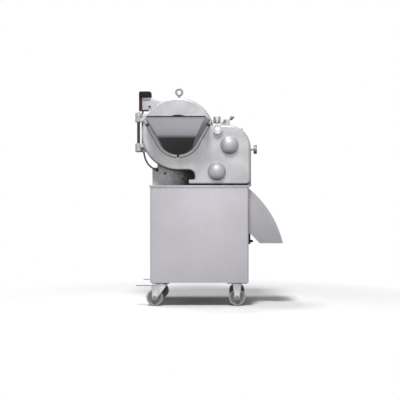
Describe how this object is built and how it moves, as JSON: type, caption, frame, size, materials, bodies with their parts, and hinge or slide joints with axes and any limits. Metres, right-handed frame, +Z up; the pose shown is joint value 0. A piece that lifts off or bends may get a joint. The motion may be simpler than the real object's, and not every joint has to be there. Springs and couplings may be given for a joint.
{
  "type": "vegetable dicer",
  "caption": "Three-way vegetable dicer with a hopper on a swinging door, geared slicing and dicing knives, a side chute and a steel cabinet on casters.",
  "frame": {"origin": "middle of the floor under the whole machine", "axes": "+X to the right seen from the front, +Y to the back, +Z up"},
  "size_m": [0.893, 0.731, 1.328],
  "materials": {
    "sheet_steel": "satin",
    "cast_steel": "satin",
    "rough_cast": "rough",
    "bright_steel": "polished",
    "zinc_steel": "satin",
    "black_plastic": "matte",
    "dark_casing": "satin",
    "black_rubber": "matte",
    "wheel_grey": "matte"
  },
  "bodies": {
    "machine": {"base_frame": "sheet_steel", "cabinet_wrap": "sheet_steel", "rear_panel": "sheet_steel", "deck_plate": "sheet_steel", "pedestal": "rough_cast", "housing": "cast_steel", "gear_case": "cast_steel", "gear_case_cover": "cast_steel", "spindle_bearings": "bright_steel", "slicing_case": "bright_steel", "slicing_knife": "bright_steel", "belt_guard": "sheet_steel", "drive_belts": "black_rubber", "motor_body": "rough_cast", "motor_fan_cover": "rough_cast", "motor_mount": "sheet_steel", "inner_funnel": "sheet_steel", "discharge_chute": "sheet_steel", "hinge_brackets": "cast_steel", "hinge_rod": "bright_steel", "switch_bracket": "sheet_steel", "switch_body": "dark_casing", "switch_cap": "black_plastic", "switch_cable": "black_rubber", "cable_gland": "black_plastic", "lifting_eye": "bright_steel", "caster_plates": "zinc_steel", "rigid_forks": "zinc_steel"},
    "door": {"front_door": "cast_steel", "upper_dome": "cast_steel", "lower_dome": "cast_steel", "feed_hopper": "sheet_steel", "hopper_flange": "sheet_steel", "hopper_bolts": "bright_steel", "door_hinge_arms": "cast_steel"},
    "lock_knob": {"door_lock_knob": "bright_steel"},
    "impeller_spindle": {"impeller": "bright_steel", "impeller_shaft": "bright_steel", "impeller_gear": "bright_steel", "drive_pulley": "rough_cast"},
    "circular_spindle": {"circular_knives": "bright_steel", "circular_shaft": "bright_steel", "circular_gear": "bright_steel"},
    "crosscut_spindle": {"crosscut_knives": "bright_steel", "crosscut_rotor": "bright_steel", "crosscut_gear": "bright_steel"},
    "motor_rotor": {"motor_shaft": "bright_steel", "motor_pulley": "rough_cast"},
    "gate": {"slice_gate": "bright_steel"},
    "adjuster": {"gate_adjuster": "bright_steel"},
    "gate_lock": {"gate_lock_knob": "bright_steel"},
    "side_clamp": {"side_clamp_knob": "bright_steel"},
    "front_swivel": {"front_swivel_fork": "zinc_steel"},
    "rear_swivel": {"rear_swivel_fork": "zinc_steel"},
    "wheel_front_left": {"front_left_wheel": "wheel_grey"},
    "wheel_rear_left": {"rear_left_wheel": "wheel_grey"},
    "wheel_front_right": {"front_right_wheel": "wheel_grey"},
    "wheel_rear_right": {"rear_right_wheel": "wheel_grey"},
    "front_pedal": {"front_brake_pedal": "zinc_steel"},
    "rear_pedal": {"rear_brake_pedal": "zinc_steel"}
  },
  "joints": [
    {"name": "door_swing", "type": "hinge", "parent": "machine", "child": "door", "pos_m": [-0.4265, -0.1555, 1.038], "axis": [0, 0, -1], "range_deg": [0, 110]},
    {"name": "lock_knob_turn", "type": "hinge", "parent": "door", "child": "lock_knob", "pos_m": [0.0505, -0.1855, 1.066], "axis": [0, 1, 0], "continuous": true},
    {"name": "impeller_spin", "type": "hinge", "parent": "machine", "child": "impeller_spindle", "pos_m": [-0.1865, 0.016, 1.038], "axis": [0, 1, 0], "continuous": true},
    {"name": "circular_spin", "type": "hinge", "parent": "machine", "child": "circular_spindle", "pos_m": [0.12139, 0.016, 0.97143], "axis": [0, 1, 0], "continuous": true},
    {"name": "crosscut_spin", "type": "hinge", "parent": "machine", "child": "crosscut_spindle", "pos_m": [0.04605, 0.016, 0.81348], "axis": [0, 1, 0], "continuous": true},
    {"name": "motor_spin", "type": "hinge", "parent": "machine", "child": "motor_rotor", "pos_m": [-0.1865, 0.0895, 0.42], "axis": [0, 1, 0], "continuous": true},
    {"name": "adjuster_turn", "type": "hinge", "parent": "machine", "child": "adjuster", "pos_m": [0.0455, -0.0475, 1.092], "axis": [0, 0, 1], "range_deg": [0, 540]},
    {"name": "gate_tilt", "type": "hinge", "parent": "machine", "child": "gate", "pos_m": [-0.03046, 0.016, 1.1355], "axis": [0, -1, 0], "range_deg": [0, 3]},
    {"name": "gate_lock_turn", "type": "hinge", "parent": "machine", "child": "gate_lock", "pos_m": [0.1045, -0.095, 1.1125], "axis": [0.7071, 0, 0.7071], "continuous": true},
    {"name": "side_clamp_turn", "type": "hinge", "parent": "machine", "child": "side_clamp", "pos_m": [0.24849, -0.0475, 0.954], "axis": [1, 0, 0], "continuous": true},
    {"name": "front_swivel_turn", "type": "hinge", "parent": "machine", "child": "front_swivel", "pos_m": [-0.2915, -0.1205, 0.144], "axis": [0, 0, 1], "continuous": true},
    {"name": "rear_swivel_turn", "type": "hinge", "parent": "machine", "child": "rear_swivel", "pos_m": [-0.2915, 0.2995, 0.144], "axis": [0, 0, 1], "continuous": true},
    {"name": "front_left_roll", "type": "hinge", "parent": "front_swivel", "child": "wheel_front_left", "pos_m": [-0.3305, -0.1205, 0.051], "axis": [0, 1, 0], "continuous": true},
    {"name": "rear_left_roll", "type": "hinge", "parent": "rear_swivel", "child": "wheel_rear_left", "pos_m": [-0.3305, 0.2995, 0.051], "axis": [0, 1, 0], "continuous": true},
    {"name": "front_right_roll", "type": "hinge", "parent": "machine", "child": "wheel_front_right", "pos_m": [0.1685, -0.1205, 0.051], "axis": [0, 1, 0], "continuous": true},
    {"name": "rear_right_roll", "type": "hinge", "parent": "machine", "child": "wheel_rear_right", "pos_m": [0.1685, 0.2995, 0.051], "axis": [0, 1, 0], "continuous": true},
    {"name": "front_pedal_press", "type": "hinge", "parent": "front_swivel", "child": "front_pedal", "pos_m": [-0.3365, -0.1205, 0.118], "axis": [0, -1, 0], "range_deg": [0, 14]},
    {"name": "rear_pedal_press", "type": "hinge", "parent": "rear_swivel", "child": "rear_pedal", "pos_m": [-0.3365, 0.2995, 0.118], "axis": [0, -1, 0], "range_deg": [0, 14]}
  ],
  "couplings": [
    {"joint": "circular_spin", "follows": "impeller_spin", "ratio": -1.8},
    {"joint": "crosscut_spin", "follows": "impeller_spin", "ratio": 3.24},
    {"joint": "motor_spin", "follows": "impeller_spin", "ratio": 2},
    {"joint": "gate_tilt", "follows": "adjuster_turn", "ratio": 0.0055556}
  ]
}
